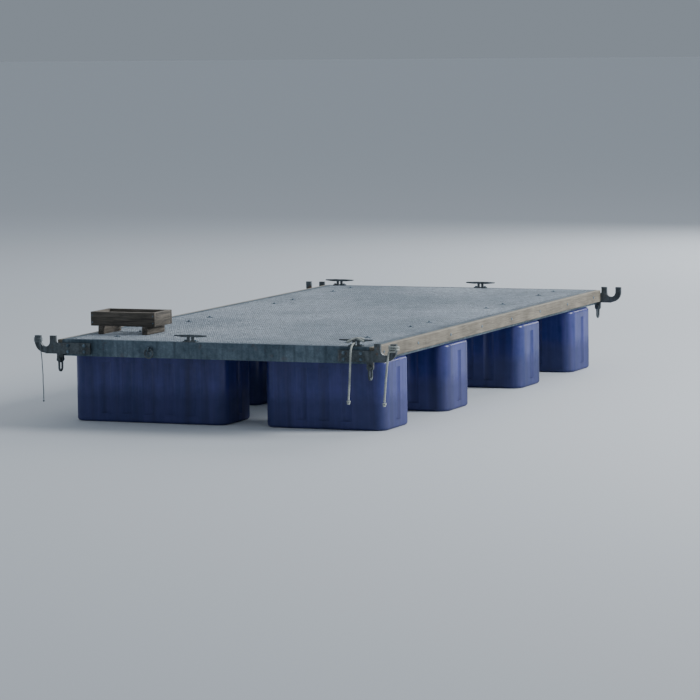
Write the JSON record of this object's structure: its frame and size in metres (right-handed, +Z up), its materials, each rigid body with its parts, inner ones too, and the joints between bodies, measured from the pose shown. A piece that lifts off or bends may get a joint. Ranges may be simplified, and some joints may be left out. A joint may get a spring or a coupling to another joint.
{
  "type": "floating platform",
  "caption": "Low rectangular floating platform: steel channel frame and grating deck on rows of hollow plastic floats, with coupling hooks, shackles and rope tails.",
  "frame": {"origin": "centre of the footprint, on the undersides of the floats", "axes": "+X to the right of the near end, +Y along the platform to its far end, +Z up"},
  "size_m": [2.8518, 5.13, 0.785],
  "materials": {
    "float_plastic": "satin",
    "bung_plastic": "matte",
    "insert_brass": "satin",
    "rail_timber": "weathered",
    "chock_timber": "weathered",
    "grating_steel": "galvanised",
    "frame_steel": "galvanised",
    "forged_steel": "galvanised, dull",
    "bolt_steel": "galvanised",
    "rope_white": "woven",
    "line_grey": "woven"
  },
  "bodies": {
    "platform": {"bearers_row1": "frame_steel", "bearers_row2": "frame_steel", "bearers_row3": "frame_steel", "bearers_row4": "frame_steel", "chock_boards": "chock_timber", "chock_ends": "chock_timber", "chock_runners": "chock_timber", "chock_screws": "bolt_steel", "cleat_bolts": "bolt_steel", "cleats": "frame_steel", "clip_bolts": "bolt_steel", "coupling_hook_far_left": "forged_steel", "coupling_hook_far_right": "forged_steel", "coupling_hook_near_left": "forged_steel", "coupling_hook_near_right": "forged_steel", "end_beam_far": "frame_steel", "end_beam_near": "frame_steel", "end_ledgers": "frame_steel", "filler_bungs": "bung_plastic", "float_bolts": "bolt_steel", "float_inserts": "insert_brass", "float_row1_left": "float_plastic", "float_row1_right": "float_plastic", "float_row2_left": "float_plastic", "float_row2_right": "float_plastic", "float_row3_left": "float_plastic", "float_row3_right": "float_plastic", "float_row4_left": "float_plastic", "float_row4_right": "float_plastic", "grating_clips": "bolt_steel", "grating_panel_1": "grating_steel", "grating_panel_2": "grating_steel", "grating_panel_3": "grating_steel", "grating_panel_4": "grating_steel", "hook_bolts": "bolt_steel", "joists": "frame_steel", "line_hitch_left": "line_grey", "line_knot": "line_grey", "mooring_rope_beam": "rope_white", "mooring_rope_corner": "rope_white", "rail_bolts": "bolt_steel", "ring_eyes": "frame_steel", "rope_hitch_right": "rope_white", "rope_knot_beam": "rope_white", "rope_knot_corner": "rope_white", "rub_rail_left": "rail_timber", "rub_rail_right": "rail_timber", "side_beam_left": "frame_steel", "side_beam_right": "frame_steel", "thin_line": "line_grey"},
    "mooring_ring_far": {"mooring_ring_far": "forged_steel"},
    "mooring_ring_near": {"mooring_ring_near": "forged_steel"},
    "shackle_far_left": {"shackle_far_left": "forged_steel"},
    "shackle_far_right": {"shackle_far_right": "forged_steel"},
    "shackle_near_left": {"shackle_near_left": "forged_steel"},
    "shackle_near_right": {"shackle_near_right": "forged_steel"}
  },
  "joints": [
    {"name": "shackle_near_left_swing", "type": "hinge", "parent": "platform", "child": "shackle_near_left", "pos_m": [-1.212, -2.5125, 0.476], "axis": [0, 1, 0], "range_deg": [-60, 60]},
    {"name": "shackle_near_right_swing", "type": "hinge", "parent": "platform", "child": "shackle_near_right", "pos_m": [1.212, -2.5125, 0.476], "axis": [0, -1, 0], "range_deg": [-60, 60]},
    {"name": "shackle_far_left_swing", "type": "hinge", "parent": "platform", "child": "shackle_far_left", "pos_m": [-1.212, 2.5125, 0.476], "axis": [0, 1, 0], "range_deg": [-60, 60]},
    {"name": "shackle_far_right_swing", "type": "hinge", "parent": "platform", "child": "shackle_far_right", "pos_m": [1.212, 2.5125, 0.476], "axis": [0, -1, 0], "range_deg": [-60, 60]},
    {"name": "ring_near_swing", "type": "hinge", "parent": "platform", "child": "mooring_ring_near", "pos_m": [-0.5, -2.522, 0.565], "axis": [-1, 0, 0], "range_deg": [-10, 100]},
    {"name": "ring_far_swing", "type": "hinge", "parent": "platform", "child": "mooring_ring_far", "pos_m": [0.5, 2.522, 0.565], "axis": [1, 0, 0], "range_deg": [-10, 100]}
  ]
}
